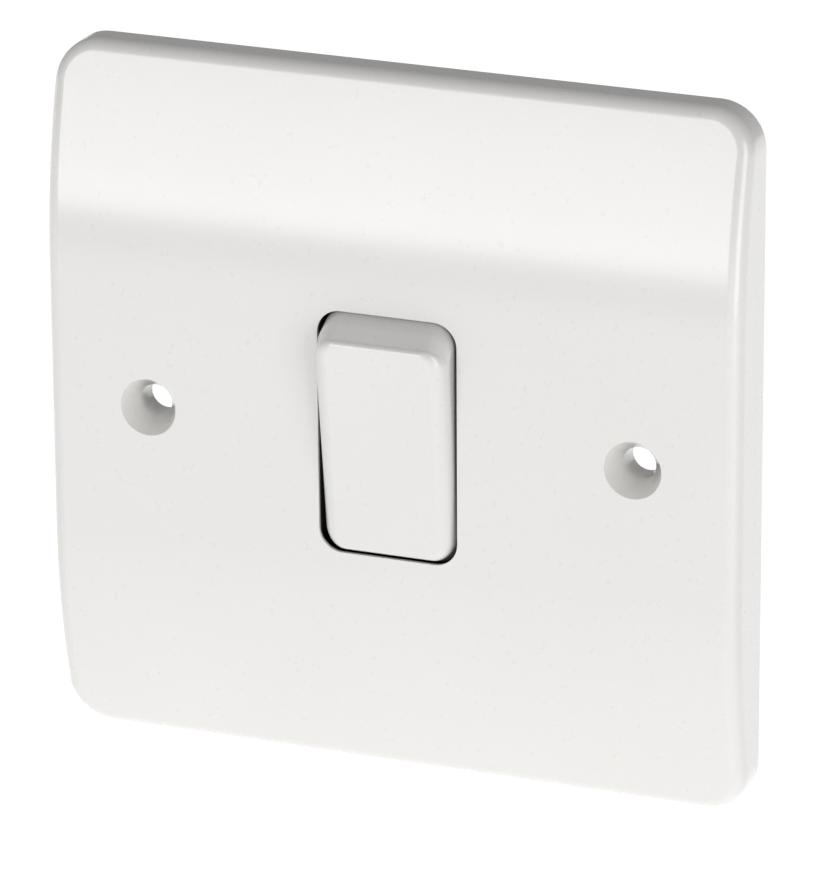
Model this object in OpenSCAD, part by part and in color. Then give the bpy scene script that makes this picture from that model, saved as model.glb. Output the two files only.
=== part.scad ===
// Rocker wall switch: one gang, two way, on a square plate for a recessed wall box.
// Millimetres. Origin at the centre of the plate's wall plane.
// +X is right and +Z is up as seen from the front. The front faces -Y, the wiring side faces +Y.
// The rocker is drawn with its top out and its bottom in.

/* [Plate] */
// Width and height of the plate
plate_size = 86; // [85:0.5:88]
// Front face to wall plane at the middle of the plate
plate_t = 8.5; // [8.4:0.1:9]
// Radius of the plate's corners seen from the front
corner_r = 5.4; // [4:0.1:7]
// Rounding between the face and the side walls
edge_r = 1.9; // [1:0.1:2.2]
// Half height of the flat middle band of the face
flat_half = 16.5; // [16:0.5:18]
// Radius of the bowed bands above and below it
bow_r = 78; // [70:1:120]
// Thickness of the face
skin = 2.4; // [2.3:0.1:2.5]
// Thickness of the side walls
rim_w = 2.2; // [1.8:0.1:2.6]

/* [Fixing holes] */
// Distance between the two fixing screws
fix_pitch = 60.3; // [60:0.1:60.6]
// Radius of the hole for an M3.5 screw
fix_r = 2.05; // [1.9:0.05:2.2]
// Radius of the countersink at the face
sink_r = 3.5; // [3.3:0.1:3.8]
// Depth of the countersink
sink_d = 2.4; // [2.2:0.1:2.6]
// Gap from the end of the fixing boss to the wall plane
boss_gap = 2.4; // [1.5:0.1:3]

/* [Rocker] */
// Half width of the opening in the plate
slot_hx = 8.64; // [8.55:0.01:8.7]
// Half height of the opening in the plate
slot_hz = 14.98; // [14.95:0.01:15.1]
// Half width of the rocker
rock_hx = 8.2; // [8:0.05:8.3]
// Half height of the rocker's pressed face
rock_hz = 13.7; // [13:0.05:13.8]
// Pressed face to the pivot axis
rock_f = 9.05; // [8.9:0.01:9.1]
// Tilt each side of the middle, in degrees
tilt = 7.3; // [6:0.1:7.3]
// Radius of the rocker's pivot pins
pin_r = 1.6; // [1.5:0.05:1.65]
// Radial running clearance of pins and plunger
run_gap = 0.05; // [0.03:0.01:0.08]

/* [Contacts] */
// Height of each contact above or below the middle
tip_z = 8.5; // [8.3:0.1:8.7]
// Radius of the contact tips
tip_r = 1.2; // [1:0.1:1.3]
// Thickness of the seesaw blade
blade_t = 0.8; // [0.7:0.05:0.85]
// Thickness of the fixed strips
strip_t = 0.8; // [0.6:0.1:0.8]

/* [Terminals] */
// Radius of the wire hole
wire_r = 2; // [1.8:0.1:2.1]
// Depth of the wire hole
wire_len = 5.6; // [5:0.1:5.8]
// Radius of the terminal screw
screw_r = 1.45; // [1.3:0.05:1.5]
// Radius of the terminal screw's head
head_r = 2.6; // [2.3:0.1:2.7]

/* [Hidden] */
$fn = 48;

half = plate_size / 2;
pivot_y = -1.3;
slot_corner_r = 2.9;
land = 0.5;
skirt_r = 16.2;
shoulder_f = 5.6;
shoulder_z = sqrt(skirt_r * skirt_r - shoulder_f * shoulder_f);
skirt_end_f = 0.5;
tube_r = 3.4;
plunger_r = 2.25;
spring_seat_f = 6;
plunger_top_f = 1;
plunger_reach = 6.3;
plunger_tip_r = 1.5;
fulcrum_y = 7.6;
ridge_r = 0.5;
blade_y = fulcrum_y - 1;
tip_h = 0.7;
floor_y = 11.8;
back_y = 14.5;
block_x = 15.5;
block_hx = 3.3;
block_hz = 3.8;
block_y0 = 4;
block_y1 = floor_y - strip_t;
wire_y = 6.9;
screw_back = 2.6;
well_y = 1.5;
tower_y = -5.9;
lug_z = 21.6;
white = [0.9, 0.89, 0.87];
brass = [0.8, 0.65, 0.35];
silver = [0.8, 0.8, 0.78];
steel = [0.65, 0.65, 0.67];

// ---- closed skins through a stack of matching rings ----

// Points of a rounded outline, each [x, z, share], share 0 on the side edges and 1 on the ends
function outline(a, b, r, n, m) = concat(
  [for (k = [0:n]) [a - r + r * cos(90 * k / n), b - r + r * sin(90 * k / n), sin(90 * k / n)]],
  [for (k = [0:n]) [-a + r - r * sin(90 * k / n), b - r + r * cos(90 * k / n), cos(90 * k / n)]],
  [for (k = [1:1:m - 1]) [-a, (b - r) * (1 - 2 * k / m), 0]],
  [for (k = [0:n]) [-a + r - r * cos(90 * k / n), -b + r - r * sin(90 * k / n), sin(90 * k / n)]],
  [for (k = [0:n]) [a - r + r * sin(90 * k / n), -b + r - r * cos(90 * k / n), cos(90 * k / n)]],
  [for (k = [1:1:m - 1]) [a, (b - r) * (2 * k / m - 1), 0]]);

// A solid from rings of equal count. The first ring is capped in level strips, and so is the
// last when it is bowed too; otherwise the last is flat.
module skinned(rings, n, m, bowed_back = false) {
  c = len(rings[0]);
  last = len(rings) - 1;
  rows = 2 * n + m - 1;
  points = [for (ring = rings) for (p = ring) p];
  cap = [for (i = [0:rows]) [n + 1 + i, n + 2 + i, (n - i - 1 + c) % c, (n - i + c) % c]];
  sides = [for (j = [0:last - 1]) for (i = [0:c - 1])
    let (k = (i + 1) % c, u = j * c, v = u + c)
    each [[u + i, v + i, v + k], [u + i, v + k, u + k]]];
  flat = [[for (i = [0:c - 1]) last * c + i]];
  back = bowed_back ? [for (f = cap) [for (i = f) last * c + i]] : flat;
  polyhedron(points = points, faces = concat([for (f = cap) [f[3], f[2], f[1], f[0]]],
    [for (f = sides) [f[2], f[1], f[0]]], back), convexity = 6);
}

// ---- shared 2D and 3D shapes ----

module rounded(a, b, r) {
  square([2 * a - 2 * r, 2 * b], center = true);
  square([2 * a, 2 * b - 2 * r], center = true);
  for (sx = [-1, 1], sz = [-1, 1]) translate([sx * (a - r), sz * (b - r)]) circle(r = r);
}

// A prism between y0 and y1 over a shape drawn in X and Z
module along_y(y0, y1) {
  translate([0, y1, 0]) rotate([90, 0, 0]) linear_extrude(height = y1 - y0) children();
}

module rod_y(x, z, y0, y1, r) {
  translate([x, y0, z]) rotate([-90, 0, 0]) cylinder(r = r, h = y1 - y0);
}

module rod_x(x0, x1, y, z, r) {
  translate([x0, y, z]) rotate([0, 90, 0]) cylinder(r = r, h = x1 - x0);
}

module block(x0, x1, y0, y1, z0, z1) {
  translate([x0, y0, z0]) cube([x1 - x0, y1 - y0, z1 - z0]);
}

// ---- plate ----

function bow(z) =
  let (d = max(0, abs(z) - flat_half)) bow_r - sqrt(bow_r * bow_r - d * d);

function slope(z) =
  let (d = max(0, abs(z) - flat_half)) d / sqrt(bow_r * bow_r - d * d);

// One ring of the rounded edge: turn 0 is where it leaves the face, turn 1 the side wall
function edge_ring(turn) =
  [for (p = outline(half, half, corner_r, 7, 18))
    let (nz = p[2] * sign(p[1]), nx = sqrt(max(0, 1 - p[2] * p[2])) * sign(p[0]),
      zc = p[1] - edge_r * nz, lean = atan(slope(zc) * p[2]),
      a = lean + (90 - lean) * turn, d = edge_r * (1 - sin(a)))
    [p[0] - d * nx, bow(zc) - plate_t + edge_r / cos(lean) - edge_r * cos(a), p[1] - d * nz]];

function plate_ring(inset, drop) =
  [for (p = outline(half - inset, half - inset, corner_r - inset, 7, 18))
    [p[0], drop - plate_t + bow(p[1]), p[1]]];

function flat_ring(inset, y) =
  [for (p = outline(half - inset, half - inset, corner_r - inset, 7, 18)) [p[0], y, p[1]]];

// The plate's hollow shell: face, rounding, side walls, rim and the inside
module plate_shell() {
  rings = concat([for (k = [0:6]) edge_ring(k / 6)],
    [flat_ring(0, 0), flat_ring(rim_w, 0), plate_ring(rim_w, skin)]);
  skinned(rings, 7, 18, true);
}

module rocker_opening() {
  y = land - plate_t;
  along_y(-plate_t - 1, 0) rounded(slot_hx, slot_hz, slot_corner_r);
  for (s = [-1, 1]) translate([0.9 - slot_hx, y, s * slot_hz])
    rotate([45 * s, 0, 0]) translate([0, 0, s > 0 ? -3 : 0]) cube([2 * slot_hx - 1.8, 3, 3]);
}

module fixing_hole(x) {
  rod_y(x, 0, -plate_t - 1, 0, fix_r);
  translate([x, -plate_t - 0.001, 0]) rotate([-90, 0, 0])
    cylinder(r1 = sink_r, r2 = fix_r, h = sink_d);
}

module faceplate() color(white) difference() {
  union() {
    difference() {
      plate_shell();
      rocker_opening();
    }
    for (s = [-1, 1]) {
      rod_y(s * fix_pitch / 2, 0, -plate_t + 1, -boss_gap, 4.6);
      rod_y(0, s * lug_z, -plate_t + 1.2, -3, 2.5);
      block(s * 37.9 - 4, s * 37.9 + 4, -plate_t + 1.5, -3, -0.7, 0.7);
    }
  }
  for (s = [-1, 1]) {
    fixing_hole(s * fix_pitch / 2);
    rod_y(0, s * lug_z, -5.7, 0, 1.25);
  }
}

// ---- rocker, plunger and spring, drawn level about the pivot and then tilted ----

module tilted() translate([0, pivot_y, 0]) rotate([tilt, 0, 0]) children();

function rocker_ring(a, b, r, fx, fz) =
  [for (p = outline(a, b, r, 6, 1)) [p[0], -fx - (fz - fx) * p[2] * p[2], p[1]]];

module rocker_outside() {
  side_r = 2;
  crest_r = 0.7;
  rings = concat(
    [for (a = [0:15:90]) rocker_ring(rock_hx - side_r * (1 - sin(a)),
      rock_hz - crest_r * (1 - sin(a)), 1.4 + 1.3 * sin(a),
      rock_f - side_r * (1 - cos(a)), rock_f - crest_r * (1 - cos(a)))],
    [for (f = [6.8, shoulder_f, 4, 2, skirt_end_f])
      rocker_ring(rock_hx, sqrt(skirt_r * skirt_r - f * f), 2.8, f, f)]);
  skinned(rings, 6, 1);
}

module rocker_inside() {
  skinned([rocker_ring(5.4, 11.2, 1, 7.2, 7.2), rocker_ring(6.6, 13.4, 1.5, 5.2, 5.2),
    rocker_ring(6.6, 14.4, 1.5, -0.5, -0.5)], 6, 1);
}

module rocker() color(white) tilted() difference() {
  union() {
    difference() {
      rocker_outside();
      rocker_inside();
    }
    rod_y(0, 0, -7.5, 3.2, tube_r);
    block(-7, 7, -7.5, -0.8, -0.6, 0.6);
    for (s = [-1, 1]) {
      rod_x(s * 7.4 - 0.8, s * 7.4 + 0.8, 0, 0, 2.6);
      rod_x(s * 8.6 - 2, s * 8.6 + 2, 0, 0, pin_r);
    }
  }
  rod_y(0, 0, -spring_seat_f, 4, plunger_r + run_gap);
}

module plunger() color([0.93, 0.92, 0.86]) tilted() {
  rod_y(0, 0, -plunger_top_f, 4.6, plunger_r);
  translate([0, 4.6, 0]) rotate([-90, 0, 0])
    cylinder(r1 = plunger_r, r2 = plunger_tip_r, h = plunger_reach - 4.6);
  translate([0, plunger_reach, 0]) rotate([90, 0, 0]) sphere(r = plunger_tip_r);
}

// A round wire wound about the Y axis, from y0 to y1
module coil(y0, y1, coil_r, wire, turns) {
  steps = turns * 24;
  k = 8;
  points = [for (i = [0:steps]) for (j = [0:k - 1])
    let (a = 360 * turns * i / steps, b = 360 * j / k,
      rr = coil_r + wire * cos(b), y = y0 + (y1 - y0) * i / steps + wire * sin(b))
    [rr * cos(a), y, rr * sin(a)]];
  sides = [for (i = [0:steps - 1]) for (j = [0:k - 1])
    let (u = i * k + j, v = i * k + (j + 1) % k)
    each [[u, v, v + k], [u, v + k, u + k]]];
  polyhedron(points = points, faces = concat(sides, [[for (j = [k - 1:-1:0]) j]],
    [[for (j = [0:k - 1]) steps * k + j]]), convexity = 8);
}

module plunger_spring() color(steel) tilted()
  coil(-spring_seat_f + 0.25, -plunger_top_f - 0.25, 1.7, 0.22, 6);

// ---- seesaw contact, drawn level about its fulcrum and then tilted ----

module seesaw() translate([0, fulcrum_y, 0]) rotate([-tilt, 0, 0])
  translate([0, -fulcrum_y, 0]) children();

module seesaw_blade() color(brass) seesaw() difference() {
  union() {
    along_y(blade_y, blade_y + blade_t) rounded(2.8, 9.9, 1);
    block(-2.6, 2.6, blade_y + 0.2, fulcrum_y, -1.4, 1.4);
  }
  rod_x(-3, 3, fulcrum_y, 0, ridge_r + run_gap);
}

module moving_tip(s) color(silver) seesaw()
  rod_y(0, s * tip_z, blade_y + blade_t, blade_y + blade_t + tip_h, tip_r);

module moving_tip_l1() moving_tip(1);
module moving_tip_l2() moving_tip(-1);

// ---- fixed contacts ----

module common_fulcrum() color(brass) {
  difference() {
    block(-block_x - 2.8, 2.2, block_y1, floor_y, -2.4, 2.4);
    rod_y(-block_x, 0, block_y1 - 1, floor_y + 1, screw_r + 0.35);
  }
  block(-2.2, 2.2, fulcrum_y, block_y1 + 0.2, -ridge_r, ridge_r);
  rod_x(-2.2, 2.2, fulcrum_y, 0, ridge_r);
}

module contact_strip(s) color(brass) {
  z = s * tip_z;
  difference() {
    block(6.2, block_x + 2.8, block_y1, floor_y, z - 2.2, z + 2.2);
    rod_y(block_x, z, block_y1 - 1, floor_y + 1, screw_r + 0.35);
  }
  block(6.2, 7, 10, floor_y, z - 2.2, z + 2.2);
  block(-2, 7, 10, 10 + strip_t, z - 2.2, z + 2.2);
}

module contact_strip_l1() contact_strip(1);
module contact_strip_l2() contact_strip(-1);

module fixed_tip(s) color(silver) rod_y(0, s * tip_z, 9.35, 10, tip_r + 0.1);

module fixed_tip_l1() fixed_tip(1);
module fixed_tip_l2() fixed_tip(-1);

// ---- terminals ----

// side is -1 on the common side and 1 on the other
module terminal(side, z) color(brass) difference() {
  block(side * block_x - block_hx, side * block_x + block_hx,
    block_y0, block_y1, z - block_hz, z + block_hz);
  translate([side * (block_x + block_hx), wire_y, z]) rotate([0, -90 * side, 0])
    translate([0, 0, -1]) cylinder(r = wire_r, h = wire_len + 1);
  rod_y(side * block_x, z, wire_y, block_y1 + 1, screw_r + run_gap);
}

module terminal_common() terminal(-1, 0);
module terminal_l1() terminal(1, tip_z);
module terminal_l2() terminal(1, -tip_z);

// Terminal screw, backed out by its full travel
module terminal_screw(x, z) color(brass) {
  y = floor_y + 0.05 + screw_back;
  difference() {
    union() {
      rod_y(x, z, wire_y + wire_r + 0.1, y + 0.2, screw_r);
      rod_y(x, z, y, y + 1.5, head_r);
    }
    block(x - 3, x + 3, y + 0.8, y + 2, z - 0.4, z + 0.4);
  }
}

module screw_common() terminal_screw(-block_x, 0);
module screw_l1() terminal_screw(block_x, tip_z);
module screw_l2() terminal_screw(block_x, -tip_z);

// ---- base moulding ----

module pocket(side, z) {
  x = side * block_x;
  block(x - block_hx - 0.1, x + block_hx + 0.1, 0, floor_y, z - block_hz - 0.1, z + block_hz + 0.1);
  rod_y(x, z, floor_y - 1, back_y + 2, head_r + 0.4);
  rod_x(side * 20 - 3, side * 20 + 3, wire_y, z, wire_r + 0.5);
}

module base_body() {
  along_y(0.5, back_y) rounded(21, 18.5, 2);
  along_y(tower_y, 2) rounded(11.7, 19, 1.5);
  for (s = [-1, 1]) {
    along_y(-3, -1) translate([0, s * (lug_z - 1)]) rounded(4, 4, 2.5);
    block(-4, 4, -1, 1, s * 18 - 0.7, s * 18 + 0.7);
    rod_y(block_x, s * tip_z, back_y - 1, back_y + 0.7, head_r + 1.4);
  }
  rod_y(-block_x, 0, back_y - 1, back_y + 0.7, head_r + 1.4);
  block(10, 20, back_y - 1, back_y + 0.7, -0.6, 0.6);
}

module base_housing() color([0.86, 0.86, 0.84]) difference() {
  base_body();
  along_y(tower_y - 1, well_y) rounded(8.75, 17.2, 1);
  along_y(0, floor_y) rounded(6, 11.5, 1);
  for (s = [-1, 1]) {
    rod_x(s * 9.8 - 1.1, s * 9.8 + 1.1, pivot_y, 0, pin_r + run_gap);
    block(s * 9.8 - 1.1, s * 9.8 + 1.1, tower_y - 1, pivot_y, -1.45, 1.45);
    rod_y(0, s * lug_z, -4, 2, 1.5);
    pocket(1, s * tip_z);
    block(5, 13, 9.9, floor_y, s * tip_z - 2.3, s * tip_z + 2.3);
  }
  pocket(-1, 0);
  block(-13, -5, 10.9, floor_y, -2.5, 2.5);
}

module base_screws() color(steel) for (s = [-1, 1]) difference() {
  union() {
    rod_y(0, s * lug_z, -5.4, -0.8, 1.2);
    rod_y(0, s * lug_z, -1, 0.6, 2.4);
  }
  block(-0.35, 0.35, -0.1, 1, s * lug_z - 1.5, s * lug_z + 1.5);
  block(-1.5, 1.5, -0.1, 1, s * lug_z - 0.35, s * lug_z + 0.35);
}

faceplate();
rocker();
plunger();
plunger_spring();
seesaw_blade();
moving_tip_l1();
moving_tip_l2();
common_fulcrum();
contact_strip_l1();
contact_strip_l2();
fixed_tip_l1();
fixed_tip_l2();
terminal_common();
terminal_l1();
terminal_l2();
screw_common();
screw_l1();
screw_l2();
base_housing();
base_screws();
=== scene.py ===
import bpy
import bmesh
import math
from mathutils import Matrix, Vector

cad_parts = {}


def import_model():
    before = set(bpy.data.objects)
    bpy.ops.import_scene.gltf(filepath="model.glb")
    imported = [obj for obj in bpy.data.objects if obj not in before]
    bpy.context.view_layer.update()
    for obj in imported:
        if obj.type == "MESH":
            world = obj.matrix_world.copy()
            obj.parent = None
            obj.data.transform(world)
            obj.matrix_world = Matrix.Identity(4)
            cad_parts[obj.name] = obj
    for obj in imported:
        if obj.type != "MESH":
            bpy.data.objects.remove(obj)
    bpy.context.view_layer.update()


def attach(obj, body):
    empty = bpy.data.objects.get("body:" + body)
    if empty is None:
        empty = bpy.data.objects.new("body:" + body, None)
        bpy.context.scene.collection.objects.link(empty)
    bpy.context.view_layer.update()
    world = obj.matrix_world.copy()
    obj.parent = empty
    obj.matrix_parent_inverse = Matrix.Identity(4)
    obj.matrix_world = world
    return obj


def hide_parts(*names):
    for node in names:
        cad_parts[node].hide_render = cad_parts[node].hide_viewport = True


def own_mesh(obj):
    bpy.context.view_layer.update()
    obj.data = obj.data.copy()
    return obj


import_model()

# Sizes, worked from the same driving values as the part's own source.
MM = 0.001
HALF = 43 * MM
FRONT = 8.5 * MM
CORNER = 5.4 * MM
EDGE = 1.9 * MM
FLAT = 16.5 * MM
BOW = 78 * MM
SKIN = 2.4 * MM
RIM = 2.2 * MM
SLOT = (8.64 * MM, 14.98 * MM, 2.9 * MM)
LAND = 0.5 * MM
PITCH = 30.15 * MM
HOLE = 2.05 * MM
SINK = 3.5 * MM
SINK_D = 2.4 * MM
CORNER_STEPS, EDGE_STEPS, BOW_STEPS = 14, 12, 18
PIVOT_Y = -1.3 * MM
TILT = math.radians(7.3)

# Places and sizes used by more than one piece, in millimetres.
LUG_Z = 21.6
TERMINAL_X, TERMINAL_Z = 15.5, 8.5
FULCRUM_Y = 7.6
WIRE_Y = 6.9
SKIRT_R = 16.2
SCREW_LIFT = 2.6


# ---------- node materials ----------

def colour(c):
    """sRGB 0-1 to the linear value a shader socket takes."""
    return tuple(v / 12.92 if v <= 0.04045 else ((v + 0.055) / 1.055) ** 2.4 for v in c) + (1.0,)


class Nodes:
    """Short names for building one material's node tree."""

    def __init__(self, name):
        self.mat = bpy.data.materials.new(name)
        self.mat.use_nodes = True
        self.tree = self.mat.node_tree
        self.shader = self.tree.nodes["Principled BSDF"]

    def add(self, kind, **inputs):
        node = self.tree.nodes.new(kind)
        for key, value in inputs.items():
            node.inputs[key.replace("_", " ")].default_value = value
        return node

    def link(self, a, b):
        self.tree.links.new(a, b)

    def coords(self, scale):
        where = self.add("ShaderNodeTexCoord")
        size = self.add("ShaderNodeMapping")
        size.inputs["Scale"].default_value = scale
        self.link(where.outputs["Object"], size.inputs["Vector"])
        return size.outputs["Vector"]

    def noise(self, vector, scale, detail=4.0, rough=0.5):
        n = self.add("ShaderNodeTexNoise", Scale=scale, Detail=detail, Roughness=rough)
        self.link(vector, n.inputs["Vector"])
        return n.outputs["Fac"]

    def ramp(self, value, low, high, a, b):
        r = self.add("ShaderNodeMapRange")
        for key, v in (("From Min", low), ("From Max", high), ("To Min", a), ("To Max", b)):
            r.inputs[key].default_value = v
        self.link(value, r.inputs["Value"])
        return r.outputs["Result"]

    def math(self, operation, *values):
        m = self.tree.nodes.new("ShaderNodeMath")
        m.operation = operation
        for socket, v in zip(m.inputs, values):
            if hasattr(v, "is_linked"):
                self.link(v, socket)
            else:
                socket.default_value = v
        return m.outputs["Value"]

    def mix(self, factor, a, b):
        m = self.add("ShaderNodeMix")
        m.data_type = "RGBA"
        self.link(factor, m.inputs["Factor"])
        for socket, v in ((m.inputs[6], a), (m.inputs[7], b)):
            if isinstance(v, tuple):
                socket.default_value = v
            else:
                self.link(v, socket)
        return m.outputs[2]

    def bump(self, height, strength, distance, under=None):
        b = self.add("ShaderNodeBump", Strength=strength, Distance=distance)
        self.link(height, b.inputs["Height"])
        if under is not None:
            self.link(under, b.inputs["Normal"])
        return b.outputs["Normal"]

    def set(self, **values):
        for key, v in values.items():
            socket = self.shader.inputs[key.replace("_", " ")]
            if hasattr(v, "is_linked"):
                self.link(v, socket)
            else:
                socket.default_value = v


def slot_shade_mask(n, vector):
    """Mask for painted shade: 1 on the walls inside the plate's opening, below its front edge; 0
    elsewhere.
    """
    axes = n.add("ShaderNodeSeparateXYZ")
    n.link(vector, axes.inputs["Vector"])
    deep = n.ramp(axes.outputs["Y"], LAND * 0.5 - FRONT, LAND * 1.2 - FRONT, 0, 1)
    for axis, reach in (("X", SLOT[0]), ("Z", SLOT[1])):
        flat = n.math("ABSOLUTE", axes.outputs[axis])
        deep = n.math("MULTIPLY", deep, n.math("LESS_THAN", flat, reach + 0.25 * MM))
    return deep


def moulded(name, base, shade, rough, coat=0.0, grain=0.02, walls=None):
    """Moulded plastic: faint flow marks in the colour, dust-fine unevenness in the gloss; walls,
    if given, is a painted shade colour on the walls inside the plate's opening.
    """
    n = Nodes(name)
    v = n.coords((1, 1, 1))
    flow = n.noise(v, 45.0, 3.0)
    fine = n.noise(v, 900.0, 5.0, 0.6)
    paint = n.mix(n.ramp(flow, 0.3, 0.7, 0, 1), colour(base), colour(shade))
    # painted shade: near-black colour on the walls inside the plate's opening, standing in for the
    # slot's shadow
    if walls:
        paint = n.mix(slot_shade_mask(n, v), paint, colour(walls))
    n.set(Base_Color=paint)
    n.set(Roughness=n.ramp(fine, 0.25, 0.75, rough * 0.85, rough * 1.15))
    waves = n.bump(n.noise(v, 120.0, 2.0), 0.05, 0.0002)
    n.set(Normal=n.bump(fine, grain, 0.00005, waves))
    n.set(IOR=1.5, Coat_Weight=coat, Coat_Roughness=0.14)
    return n.mat


def brass(name, base, dull, rough, lines):
    """Rolled or turned brass: drawing lines, tarnish patches."""
    n = Nodes(name)
    v = n.coords((1, 1, 1))
    along = n.coords(lines)
    marks = n.noise(along, 800.0, 4.0, 0.7)
    patch = n.noise(v, 260.0, 5.0, 0.65)
    n.set(Base_Color=n.mix(n.ramp(patch, 0.4, 0.7, 0, 1), colour(base), colour(dull)))
    n.set(Roughness=n.ramp(marks, 0.2, 0.8, rough * 0.7, rough * 1.4))
    n.set(Normal=n.bump(marks, 0.12, 0.00008))
    n.set(Metallic=1.0)
    return n.mat


def white_metal(name, base, dull, rough, scale):
    """Zinc plate, silver alloy or drawn steel wire."""
    n = Nodes(name)
    v = n.coords((1, 1, 1))
    cloud = n.noise(v, scale, 5.0, 0.6)
    pits = n.noise(v, scale * 5, 3.0)
    n.set(Base_Color=n.mix(n.ramp(cloud, 0.35, 0.65, 0, 1), colour(base), colour(dull)))
    n.set(Roughness=n.ramp(pits, 0.3, 0.7, rough * 0.75, rough * 1.3))
    n.set(Normal=n.bump(pits, 0.08, 0.00004))
    n.set(Metallic=1.0)
    return n.mat


# The plate's walls colour is painted shade, near black inside the opening.
PLATE = moulded("plate_gloss", (0.856, 0.851, 0.842), (0.851, 0.845, 0.835), 0.3, 1.0,
                walls=(0.1, 0.1, 0.1))
ROCKER = moulded("rocker_gloss", (0.843, 0.839, 0.831), (0.838, 0.833, 0.824), 0.3, 1.0)
NYLON = moulded("nylon", (0.91, 0.9, 0.83), (0.88, 0.87, 0.79), 0.45)
BASE = moulded("base_grey", (0.16, 0.158, 0.155), (0.135, 0.134, 0.132), 0.42, 0.0, 0.06)
STRIP = brass("rolled_brass", (0.83, 0.68, 0.4), (0.66, 0.5, 0.27), 0.32, (1, 1, 0.05))
BLOCK = brass("drawn_brass", (0.85, 0.71, 0.44), (0.7, 0.55, 0.32), 0.3, (0.06, 1, 1))
TURNED = brass("turned_brass", (0.84, 0.7, 0.43), (0.68, 0.54, 0.3), 0.28, (1, 0.05, 1))
SILVER = white_metal("contact_silver", (0.86, 0.85, 0.83), (0.7, 0.69, 0.67), 0.3, 500.0)
ZINC = white_metal("zinc_plate", (0.78, 0.78, 0.77), (0.62, 0.62, 0.63), 0.36, 300.0)
SPRING = white_metal("spring_wire", (0.66, 0.66, 0.67), (0.5, 0.5, 0.51), 0.3, 700.0)
PAINT = {"plate_plastic": PLATE, "rocker_plastic": ROCKER, "nylon": NYLON,
         "base_plastic": BASE, "brass_strip": STRIP, "terminal_brass": BLOCK,
         "screw_brass": TURNED, "contact_silver": SILVER, "screw_steel": ZINC,
         "spring_steel": SPRING}


# ---------- mesh helpers ----------

def apply_modifiers(obj):
    """Bakes the modifiers into the mesh."""
    deps = bpy.context.evaluated_depsgraph_get()
    deps.update()
    mesh = bpy.data.meshes.new_from_object(obj.evaluated_get(deps))
    obj.modifiers.clear()
    obj.data = mesh


def outline(a, b, r, n, m):
    """Rounded outline [(x, z, share)], the same count for every size."""
    out = []
    quarter = math.pi / 2
    for q, (sx, sz) in enumerate(((1, 1), (-1, 1), (-1, -1), (1, -1))):
        for k in range(n + 1):
            t = quarter * k / n
            c, s = (math.cos(t), math.sin(t)) if q % 2 == 0 else (math.sin(t), math.cos(t))
            out.append((sx * (a - r + r * c), sz * (b - r + r * s), s))
        if q % 2:
            for k in range(1, m):
                z = (b - r) * (1 - 2 * k / m)
                out.append((sx * a, z if q == 1 else -z, 0.0))
    return out


def bands(faces, start, count, rings):
    """Quads between rings laid one after another."""
    for j in range(rings - 1):
        for i in range(count):
            k = (i + 1) % count
            u, v = start + j * count, start + (j + 1) * count
            faces.append((u + i, u + k, v + k, v + i))


def bow(z):
    d = max(0.0, abs(z) - FLAT)
    return BOW - math.sqrt(BOW * BOW - d * d)


def slope(z):
    d = max(0.0, abs(z) - FLAT)
    return d / math.sqrt(BOW * BOW - d * d)


def combine(obj, other, how):
    """Boolean with another object, which is then removed."""
    m = obj.modifiers.new("join", "BOOLEAN")
    m.operation = how
    m.solver = "EXACT"
    m.object = other
    apply_modifiers(obj)
    bpy.data.objects.remove(other, do_unlink=True)


def raw(verts, faces, name="tool"):
    """A bare closed mesh used to add to or cut a piece."""
    mesh = bpy.data.meshes.new(name)
    mesh.from_pydata([tuple(v) for v in verts], [], faces)
    bm = bmesh.new()
    bm.from_mesh(mesh)
    bmesh.ops.recalc_face_normals(bm, faces=bm.faces)
    bm.to_mesh(mesh)
    bm.free()
    obj = bpy.data.objects.new(name, mesh)
    bpy.context.scene.collection.objects.link(obj)
    return obj


def loft(rings, name="tool"):
    """A closed mesh through rings of equal count, capped flat at both ends."""
    n = len(rings[0])
    faces = [tuple(range(n)), tuple(range((len(rings) - 1) * n, len(rings) * n))]
    bands(faces, 0, n, len(rings))
    return raw([p for r in rings for p in r], faces, name)


def spin(profile, place, axis, count=64):
    """Turned part: profile [(radius, along)], standing at place along a row axis."""
    rings = []
    for r, h in profile:
        ring = []
        for k in range(count):
            c, s = r * math.cos(math.tau * k / count), r * math.sin(math.tau * k / count)
            off = {"x": (h, c, s), "y": (c, h, s), "z": (c, s, h)}[axis]
            ring.append(tuple((p + o) for p, o in zip(place, off)))
        rings.append(ring)
    return loft(rings)


def rod(axis, x, y, z, start, end, r, count=64):
    """Plain round bar in millimetres, from start to end along the axis."""
    place = [x * MM, y * MM, z * MM]
    place["xyz".index(axis)] = 0
    return spin([(r * MM, start * MM), (r * MM, end * MM)], place, axis, count)


def brick(x0, x1, y0, y1, z0, z1):
    """Box in millimetres."""
    ring = [[(x * MM, y * MM, z * MM) for x, z in ((x0, z0), (x1, z0), (x1, z1), (x0, z1))]
            for y in (y0, y1)]
    return loft(ring)


def prism(a, b, r, y0, y1, z=0.0, n=12):
    """Rounded block in millimetres between two levels of Y."""
    shape = outline(a, b, r, n, 1)
    return loft([[(p[0] * MM, y * MM, (p[1] + z) * MM) for p in shape] for y in (y0, y1)])


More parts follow.
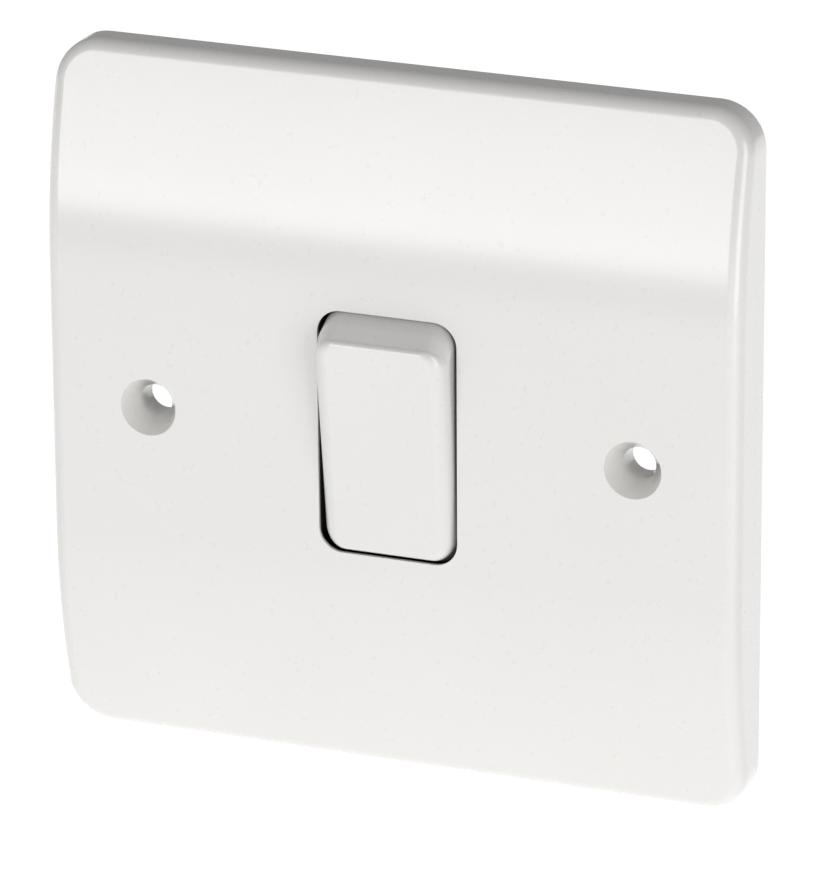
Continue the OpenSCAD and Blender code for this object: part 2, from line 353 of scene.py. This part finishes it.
def finished(obj, name, body, slot_name, nodes, edge=0.15, angle=32.0, segments=3):
    """Names the mesh, eases its edges, and puts it on its body in place of CAD nodes."""
    obj.name = name
    obj.data.name = name
    obj.data.materials.clear()
    obj.data.materials.append(PAINT[slot_name])
    if edge:
        b = obj.modifiers.new("edges", "BEVEL")
        b.width = edge * MM
        b.segments = segments
        b.limit_method = "ANGLE"
        b.angle_limit = math.radians(angle)
        b.harden_normals = False
        b.miter_outer = "MITER_ARC"
        apply_modifiers(obj)
    for p in obj.data.polygons:
        p.use_smooth = True
    obj.data.set_sharp_from_angle(angle=math.radians(angle))
    w = obj.modifiers.new("normals", "WEIGHTED_NORMAL")
    w.keep_sharp = True
    apply_modifiers(obj)
    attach(obj, body)
    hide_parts(*nodes)
    return obj


# ---------- faceplate ----------

def plate_outline(n):
    """The plate's outline with close levels where the face bows: [(x, z, share)]."""
    a, r = HALF, CORNER
    out = []
    levels = [a - r - (a - r - FLAT) * k / BOW_STEPS for k in range(1, BOW_STEPS + 1)]
    side = levels + [-z for z in reversed(levels)]
    for q, (sx, sz) in enumerate(((1, 1), (-1, 1), (-1, -1), (1, -1))):
        for k in range(n + 1):
            t = math.pi / 2 * k / n
            c, s = (math.cos(t), math.sin(t)) if q % 2 == 0 else (math.sin(t), math.cos(t))
            out.append((sx * (a - r + r * c), sz * (a - r + r * s), s))
        if q == 1:
            out += [(-a, z, 0.0) for z in side]
        if q == 3:
            out += [(a, -z, 0.0) for z in side]
    return out


def edge_ring(shape, turn):
    """turn 0 is where the rounding leaves the face, turn 1 is the side wall."""
    ring = []
    for x, z, share in shape:
        nz = math.copysign(share, z)
        nx = math.copysign(math.sqrt(max(0.0, 1 - share * share)), x)
        zc = z - EDGE * nz
        lean = math.atan(slope(zc) * share)
        a = lean + (math.pi / 2 - lean) * turn
        d = EDGE * (1 - math.sin(a))
        y = bow(zc) - FRONT + EDGE / math.cos(lean) - EDGE * math.cos(a)
        ring.append((x - d * nx, y, z - d * nz))
    return ring


def inner_ring(shape, y=None):
    """The inside of the side walls, at level y or on the back of the bowed face."""
    ring = []
    for x, z, share in shape:
        nz = math.copysign(share, z)
        nx = math.copysign(math.sqrt(max(0.0, 1 - share * share)), x)
        px, pz = x - RIM * nx, z - RIM * nz
        ring.append((px, bow(pz) - FRONT + SKIN if y is None else y, pz))
    return ring


def plate_shell():
    """The shell in one mesh: rolled edge, side wall, rim and inside, capped front and back."""
    n = CORNER_STEPS
    shape = plate_outline(n)
    rings = [edge_ring(shape, k / EDGE_STEPS) for k in range(EDGE_STEPS + 1)]
    back = [(x, 0.0, z) for x, z, share in shape]
    rings += [back, inner_ring(shape, 0.0), inner_ring(shape)]
    count = len(shape)
    faces = []
    chain = count // 2
    for start in (0, (len(rings) - 1) * count):
        for i in range(chain - 1):
            a, b = n + 1 + i, n + 2 + i
            c, d = (n - i - 1) % count, (n - i) % count
            faces.append((start + a, start + b, start + c, start + d))
    bands(faces, 0, count, len(rings))
    return raw([p for r in rings for p in r], faces, "plate")


def opening_cutter():
    """The rocker's opening: a short straight land, then a flare above and below."""
    a, b, r = (v / MM for v in SLOT)
    shape = outline(a, b, r, 16, 1)
    back = (LAND - FRONT) / MM
    rings = []
    for y, grow in ((-FRONT / MM - 1, 0.0), (back, 0.0), (back + 2.4, 2.4), (1.0, 2.4)):
        rings.append([(x * MM, y * MM, (z + math.copysign(grow, z)) * MM) for x, z, s in shape])
    return loft(rings)


def fixing_cutter(s):
    """Through hole with its countersink."""
    f = -FRONT
    cone = (SINK - HOLE) / SINK_D
    profile = [(SINK + cone * MM, f - MM), (HOLE, f + SINK_D), (HOLE, 1 * MM)]
    return spin(profile, (s * PITCH, 0, 0), "y", 96)


def faceplate():
    """Shell with bosses round the fixing holes, posts for the base screws and side ribs."""
    plate = plate_shell()
    for s in (-1, 1):
        combine(plate, rod("y", s * PITCH / MM, 0, 0, -7.4, -2.4, 4.6, 96), "UNION")
        combine(plate, rod("y", 0, 0, s * LUG_Z, -7.2, -3.0, 2.5, 64), "UNION")
        combine(plate, brick(s * 37.9 - 4, s * 37.9 + 4, -7.0, -3.0, -0.7, 0.7), "UNION")
    combine(plate, opening_cutter(), "DIFFERENCE")
    for s in (-1, 1):
        combine(plate, fixing_cutter(s), "DIFFERENCE")
        combine(plate, rod("y", 0, 0, s * LUG_Z, -5.7, 1.0, 1.25), "DIFFERENCE")
    finished(plate, "faceplate_moulding", "housing", "plate_plastic", ["faceplate"], 0.22)


# ---------- rocker, plunger and spring ----------

def tilt(obj):
    """From the level drawing about the pivot to the rest tilt."""
    turn = Matrix.Rotation(TILT, 4, "X")
    obj.data.transform(Matrix.Translation((0, PIVOT_Y, 0)) @ turn)
    return obj


def rocker_ring(a, b, r, fx, fz, n=12):
    """A level ring fx in front of the pivot at the sides and fz at the ends."""
    return [(x * MM, -(fx + (fz - fx) * s * s) * MM, z * MM) for x, z, s in outline(a, b, r, n, 1)]


def rocker_shell():
    """Rounded face, then a skirt on an arc about the pivot, then the hollow behind."""
    rings = []
    for k in range(13):
        t = math.pi / 2 * k / 12
        up, out = 1 - math.cos(t), math.sin(t)
        rings.append(rocker_ring(6.2 + 2 * out, 13.0 + 0.7 * out, 1.4 + 1.3 * out,
                                 9.05 - 2 * up, 9.05 - 0.7 * up))
    for f in (6.8, 6.2, 5.6, 5.0, 4.0, 3.0, 2.0, 1.2, 0.5):
        rings.append(rocker_ring(8.2, math.sqrt(SKIRT_R ** 2 - f * f), 2.8, f, f))
    rings.append(rocker_ring(6.6, 14.4, 1.5, 0.5, 0.5))
    rings.append(rocker_ring(6.6, 13.4, 1.5, 5.2, 5.2))
    rings.append(rocker_ring(5.4, 11.2, 1.0, 7.2, 7.2))
    return loft(rings)


def rocker():
    """The shell with its plunger tube, web and two pivot pins."""
    body = rocker_shell()
    combine(body, rod("y", 0, 0, 0, -7.5, 3.2, 3.4), "UNION")
    combine(body, brick(-7, 7, -7.5, -0.8, -0.6, 0.6), "UNION")
    for s in (-1, 1):
        combine(body, rod("x", 0, 0, 0, s * 7.4 - 0.8, s * 7.4 + 0.8, 2.6), "UNION")
        combine(body, rod("x", 0, 0, 0, s * 8.6 - 2, s * 8.6 + 2, 1.6), "UNION")
    combine(body, rod("y", 0, 0, 0, -6, 4, 2.3), "DIFFERENCE")
    tilt(body)
    finished(body, "rocker_moulding", "rocker", "rocker_plastic", ["rocker"], 0.12, 40)


def plunger():
    """Nylon pin with a round nose."""
    profile = [(2.05, -1.0), (2.25, -0.8), (2.25, 4.6), (1.62, 6.1)]
    for k in range(1, 9):
        t = math.pi / 2 * k / 8.0
        profile.append((max(0.02, 1.5 * math.cos(t)), 6.3 + 1.5 * math.sin(t)))
    pin = spin([(r * MM, y * MM) for r, y in profile], (0, 0, 0), "y")
    tilt(pin)
    finished(pin, "nylon_plunger", "plunger", "nylon", ["plunger"], 0)


def spring():
    """Coil whose end turns lie flat, drawn at one length; the real one shortens as the plunger
    slides.
    """
    turns, wire, radius = 6.0, 0.22, 1.7
    steps, sides = 240, 12
    low, high = -5.75, -1.25
    rings = []
    for i in range(steps + 1):
        u = i / steps
        a = math.tau * turns * u
        y = low + (high - low) * min(1.0, max(0.0, (u - 0.08) / 0.84))
        rings.append([((radius + wire * math.cos(b)) * math.cos(a) * MM,
                       (y + wire * math.sin(b)) * MM,
                       (radius + wire * math.cos(b)) * math.sin(a) * MM)
                      for b in (math.tau * j / sides for j in range(sides))])
    coil = loft(rings)
    tilt(coil)
    finished(coil, "coil_spring", "rocker", "spring_steel", ["plunger_spring"], 0)
    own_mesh(coil)


# ---------- contacts and terminals ----------

def rock(obj):
    """From the level drawing about the fulcrum to the rest tilt."""
    at = Vector((0, FULCRUM_Y * MM, 0))
    move = Matrix.Translation(at) @ Matrix.Rotation(-TILT, 4, "X") @ Matrix.Translation(-at)
    obj.data.transform(move)
    return obj


def blade():
    """Seesaw strip with a saddle over the knife edge."""
    b = prism(2.8, 9.9, 1.0, 6.6, 7.4)
    combine(b, brick(-2.6, 2.6, 6.8, 7.6, -1.4, 1.4), "UNION")
    combine(b, rod("x", 0, FULCRUM_Y, 0, -3, 3, 0.55), "DIFFERENCE")
    rock(b)
    finished(b, "seesaw_strip", "seesaw", "brass_strip", ["seesaw_blade"], 0.08)


def contact_button(name, body, node, z, y0, y1, r, tilted):
    """Riveted contact with a low dome inside its stated face."""
    d = 1 if tilted else -1
    base, face = (y0, y1) if d > 0 else (y1, y0)
    profile = [(r, base), (r, face - d * 0.16), (r * 0.86, face - d * 0.05), (r * 0.5, face),
               (0.02, face)]
    b = spin([(p * MM, y * MM) for p, y in profile], (0, 0, z * MM), "y", 48)
    if tilted:
        rock(b)
    finished(b, name, body, "contact_silver", [node], 0)


def strip(name, node, z):
    """Stepped contact strip from the pad to its terminal."""
    s = brick(6.2, 18.3, 11.0, 11.8, z - 2.2, z + 2.2)
    combine(s, brick(6.2, 7.0, 10.0, 11.8, z - 2.2, z + 2.2), "UNION")
    combine(s, brick(-2, 7, 10.0, 10.8, z - 2.2, z + 2.2), "UNION")
    combine(s, rod("y", TERMINAL_X, 0, z, 10, 13, 1.8), "DIFFERENCE")
    finished(s, name, "housing", "brass_strip", [node], 0.1)


def fulcrum():
    """Common strip with an upright blade and a round knife edge on it."""
    s = brick(-18.3, 2.2, 11.0, 11.8, -2.4, 2.4)
    combine(s, brick(-2.2, 2.2, FULCRUM_Y, 11.2, -0.5, 0.5), "UNION")
    combine(s, rod("x", 0, FULCRUM_Y, 0, -2.2, 2.2, 0.5), "UNION")
    combine(s, rod("y", -TERMINAL_X, 0, 0, 10, 13, 1.8), "DIFFERENCE")
    finished(s, "fulcrum_strip", "housing", "brass_strip", ["common_fulcrum"], 0.08)


def terminal(name, node, side, z):
    """Brass block with a wire hole from the side and a screw hole from the back."""
    x = side * TERMINAL_X
    b = brick(x - 3.3, x + 3.3, 4.0, 11.0, z - 3.8, z + 3.8)
    mouth = side * 18.8
    ends = sorted((side * 13.2, mouth + side))
    combine(b, rod("x", 0, WIRE_Y, z, ends[0], ends[1], 2.0), "DIFFERENCE")
    combine(b, rod("y", x, 0, z, WIRE_Y, 12, 1.5), "DIFFERENCE")
    finished(b, name, "housing", "terminal_brass", [node], 0.2)


def threaded(x, z, y0, y1, r, depth, pitch, count=32):
    """A round shank with shallow thread turns, never wider than r."""
    steps = max(4, int((y1 - y0) / pitch * 8))
    profile = []
    for k in range(steps + 1):
        y = y0 + (y1 - y0) * k / steps
        wave = 0.5 - 0.5 * math.cos(math.tau * (y - y0) / pitch)
        profile.append(((r - depth * wave) * MM, y * MM))
    return spin(profile, (x * MM, 0, z * MM), "y", count)


def head(x, z, y0, y1, r):
    """Cheese head with a slightly domed top."""
    h = y1 - y0
    profile = [(r * 0.96, y0), (r, y0 + 0.1), (r, y0 + h * 0.72), (r * 0.93, y0 + h * 0.93),
               (r * 0.6, y1 - 0.01), (0.02, y1)]
    return spin([(p * MM, y * MM) for p, y in profile], (x * MM, 0, z * MM), "y", 64)


def terminal_screw(name, x, z):
    """Slotted screw, drawn backed off from its clamped place."""
    y = 11.85 + SCREW_LIFT
    s = head(x, z, y, y + 1.5, 2.6)
    combine(s, threaded(x, z, 9.0, y + 0.2, 1.45, 0.14, 0.6), "UNION")
    combine(s, brick(x - 3, x + 3, y + 0.8, y + 3, z - 0.4, z + 0.4), "DIFFERENCE")
    finished(s, name + "_turned", name, "screw_brass", [name], 0.06, 40, 2)


def base_screws():
    """Two cross-slotted screws in one piece, as in the CAD node."""
    both = None
    for sign in (-1, 1):
        z = sign * LUG_Z
        s = head(0, z, -1.0, 0.6, 2.4)
        combine(s, threaded(0, z, -5.4, -0.8, 1.2, 0.16, 0.7), "UNION")
        combine(s, brick(-0.35, 0.35, -0.1, 2, z - 1.5, z + 1.5), "DIFFERENCE")
        combine(s, brick(-1.5, 1.5, -0.1, 2, z - 0.35, z + 0.35), "DIFFERENCE")
        if both is None:
            both = s
        else:
            combine(both, s, "UNION")
    finished(both, "base_screw_pair", "housing", "screw_steel", ["base_screws"], 0.05, 40, 2)


# ---------- base moulding ----------

def base_cuts(b):
    """The rocker's well, pin bearings, screw holes, strip seats and terminal pockets."""
    combine(b, prism(8.75, 17.2, 1.0, -8, 1.5), "DIFFERENCE")
    combine(b, prism(6.0, 11.5, 1.0, 0.0, 11.8), "DIFFERENCE")
    for s in (-1, 1):
        x = s * 9.8
        pin = PIVOT_Y / MM
        seat = s * TERMINAL_Z
        combine(b, rod("x", 0, pin, 0, x - 1.1, x + 1.1, 1.65), "DIFFERENCE")
        combine(b, brick(x - 1.1, x + 1.1, -8, pin, -1.45, 1.45), "DIFFERENCE")
        combine(b, rod("y", 0, 0, s * LUG_Z, -4, 2, 1.5), "DIFFERENCE")
        combine(b, brick(5, 13, 9.9, 11.8, seat - 2.3, seat + 2.3), "DIFFERENCE")
    combine(b, brick(-13, -5, 10.9, 11.8, -2.5, 2.5), "DIFFERENCE")
    for side, z in ((1, TERMINAL_Z), (1, -TERMINAL_Z), (-1, 0.0)):
        x = side * TERMINAL_X
        combine(b, brick(x - 3.4, x + 3.4, 0, 11.8, z - 3.9, z + 3.9), "DIFFERENCE")
        combine(b, rod("y", x, 0, z, 10.8, 16.5, 3.0), "DIFFERENCE")
        ends = sorted((side * 17.0, side * 23.0))
        combine(b, rod("x", 0, WIRE_Y, z, ends[0], ends[1], 2.5), "DIFFERENCE")


def base_housing():
    """Block with the rocker's tower, two lugs and raised collars round the terminal screws."""
    b = prism(21, 18.5, 2.0, 0.5, 14.5)
    combine(b, prism(11.7, 19, 1.5, -5.9, 2), "UNION")
    for s in (-1, 1):
        combine(b, prism(4, 4, 2.5, -3, -1, s * 20.6), "UNION")
        combine(b, brick(-4, 4, -1, 1, s * 18 - 0.7, s * 18 + 0.7), "UNION")
        combine(b, rod("y", TERMINAL_X, 0, s * TERMINAL_Z, 13.5, 15.2, 4.0), "UNION")
    combine(b, rod("y", -TERMINAL_X, 0, 0, 13.5, 15.2, 4.0), "UNION")
    combine(b, brick(10, 20, 13.5, 15.2, -0.6, 0.6), "UNION")
    base_cuts(b)
    finished(b, "base_moulding", "housing", "base_plastic", ["base_housing"], 0.2, 40)


# ---------- stage, in metres ----------

FLOOR_Z, FLOOR_REACH = -0.3, 6
FLOOR_GLOW = 0.76
SKY = 0.31
CARD_ENDS = ((-0.68, -0.68), (0.02, -0.96))
CARD_LEVELS = (-0.215, -0.115)

def camera():
    """Camera at the fitted viewing angle, distance and focal length."""
    yaw, pitch, roll = (math.radians(v) for v in (21.185, 20.621, -0.33))
    back = Vector((math.sin(yaw) * math.cos(pitch), -math.cos(yaw) * math.cos(pitch),
                   math.sin(pitch)))
    right = (-back).cross(Vector((0, 0, 1))).normalized()
    up = right.cross(-back)
    r2 = right * math.cos(roll) + up * math.sin(roll)
    u2 = up * math.cos(roll) - right * math.sin(roll)
    place = Vector((0.607, 0, -3.081)) * MM + back * 0.8019
    cam = bpy.data.objects.new("camera", bpy.data.cameras.new("camera"))
    bpy.context.scene.collection.objects.link(cam)
    cam.matrix_world = Matrix(((r2.x, u2.x, back.x, place.x), (r2.y, u2.y, back.y, place.y),
                               (r2.z, u2.z, back.z, place.z), (0, 0, 0, 1)))
    cam.data.sensor_width = 36
    cam.data.lens = 6842.3 * 36 / 880
    cam.data.clip_start, cam.data.clip_end = 0.01, 50
    bpy.context.scene.camera = cam


def softbox(name, place, aim, width, height, watts):
    """A rectangular light, aimed at a point and hidden from the camera."""
    data = bpy.data.lights.new(name, "AREA")
    data.shape = "RECTANGLE"
    data.size, data.size_y = width, height
    data.energy = watts
    data.color = (1, 1, 1)
    lamp = bpy.data.objects.new(name, data)
    bpy.context.scene.collection.objects.link(lamp)
    lamp.location = place
    lamp.rotation_euler = (Vector(aim) - Vector(place)).to_track_quat("-Z", "Y").to_euler()
    lamp.visible_camera = False
    return lamp


def flag():
    """A dark card under the front panel; it only shows as a band in the gloss."""
    n = Nodes("dark_card")
    v = n.coords((1, 1, 1))
    n.set(Base_Color=n.mix(n.noise(v, 20.0), colour((0.1, 0.1, 0.1)), colour((0.13, 0.13, 0.13))))
    n.set(Roughness=0.9)
    (x0, y0), (x1, y1) = CARD_ENDS
    low, high = CARD_LEVELS
    corners = [(x0, y0, low), (x1, y1, low), (x1, y1, high), (x0, y0, high)]
    card = raw(corners, [(0, 1, 2, 3)], "card")
    card.data.materials.append(n.mat)
    card.visible_camera = False


def floor():
    """Plain pale floor, matt, with a little light of its own so it stays white."""
    n = Nodes("pale_floor")
    v = n.coords((1, 1, 1))
    fine = n.noise(v, 60.0, 4.0)
    n.set(Base_Color=n.mix(fine, colour((0.93, 0.93, 0.93)), colour((0.95, 0.95, 0.95))))
    n.set(Roughness=n.ramp(fine, 0.3, 0.7, 0.75, 0.9), Specular_IOR_Level=0.0)
    n.set(Emission_Color=(1, 1, 1, 1), Emission_Strength=FLOOR_GLOW)
    r, z = FLOOR_REACH, FLOOR_Z
    f = raw([(-r, -r, z), (r, -r, z), (r, r, z), (-r, r, z)], [(0, 1, 2, 3)], "floor")
    f.data.materials.append(n.mat)


def world():
    """Even white surroundings."""
    w = bpy.data.worlds.new("studio")
    bpy.context.scene.world = w
    w.use_nodes = True
    back = w.node_tree.nodes["Background"]
    back.inputs["Color"].default_value = (1, 1, 1, 1)
    back.inputs["Strength"].default_value = SKY


def stage():
    """Floor, surroundings, a tall panel in front, a key light on the right, the dark card."""
    floor()
    world()
    softbox("front_panel", (-0.34, -0.85, 0.165), (0, 0, 0.165), 0.5, 0.57, 2.65)
    softbox("right_key", (0.85, -0.58, 0.17), (0, 0, 0.1), 0.5, 0.88, 3.5)
    flag()
    bpy.context.scene.view_settings.view_transform = "Standard"
    bpy.context.scene.view_settings.look = "None"


faceplate()
rocker()
plunger()
spring()
blade()
contact_button("tip_l1", "seesaw", "moving_tip_l1", TERMINAL_Z, 7.4, 8.1, 1.2, True)
contact_button("tip_l2", "seesaw", "moving_tip_l2", -TERMINAL_Z, 7.4, 8.1, 1.2, True)
contact_button("seat_l1", "housing", "fixed_tip_l1", TERMINAL_Z, 9.35, 10.0, 1.3, False)
contact_button("seat_l2", "housing", "fixed_tip_l2", -TERMINAL_Z, 9.35, 10.0, 1.3, False)
strip("strip_l1", "contact_strip_l1", TERMINAL_Z)
strip("strip_l2", "contact_strip_l2", -TERMINAL_Z)
fulcrum()
for end, side, level in (("common", -1, 0.0), ("l1", 1, TERMINAL_Z), ("l2", 1, -TERMINAL_Z)):
    terminal("block_" + end, "terminal_" + end, side, level)
for end, side, level in (("common", -1, 0.0), ("l1", 1, TERMINAL_Z), ("l2", 1, -TERMINAL_Z)):
    terminal_screw("screw_" + end, side * TERMINAL_X, level)
base_screws()
base_housing()
camera()
stage()
